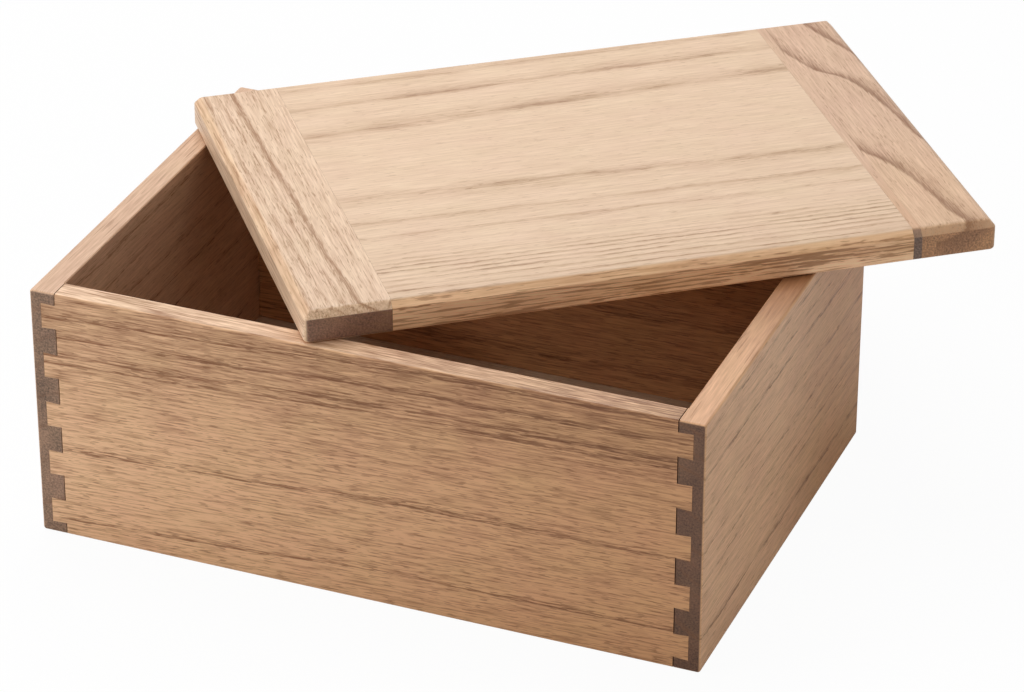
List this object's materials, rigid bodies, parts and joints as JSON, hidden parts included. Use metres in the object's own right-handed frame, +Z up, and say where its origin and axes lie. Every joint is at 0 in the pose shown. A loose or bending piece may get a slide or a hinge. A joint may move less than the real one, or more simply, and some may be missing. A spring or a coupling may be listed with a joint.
{
  "type": "wooden keepsake box",
  "caption": "Rectangular wooden box with half-blind dovetailed corners and a loose lift-off lid with cross-grain end cleats, for papers and keepsakes.",
  "frame": {"origin": "centre of the box's flat underside, on the bottom panel", "axes": "+X along the front board to the right, +Y from the front to the back, +Z up; the lid lies askew on the rim at rest"},
  "size_m": [0.4164, 0.3993, 0.1503],
  "materials": {
    "board_wood": "planed, satin oil",
    "bottom_wood": "planed, unfinished",
    "lid_panel_wood": "planed, satin oil",
    "lid_cleat_wood": "planed, satin oil",
    "lid_strip_wood": "planed, satin oil"
  },
  "bodies": {
    "box": {"front_board": "board_wood", "back_board": "board_wood", "left_board": "board_wood", "right_board": "board_wood", "bottom_panel": "bottom_wood"},
    "lid": {"lid_panel": "lid_panel_wood", "lid_left_cleat": "lid_cleat_wood", "lid_right_strip": "lid_strip_wood", "lid_right_cleat": "lid_cleat_wood"}
  },
  "joints": [
    {"name": "lid_lift", "type": "slide", "parent": "box", "child": "lid", "axis": [0, 0, 1], "range_m": [0, 0.15]}
  ]
}
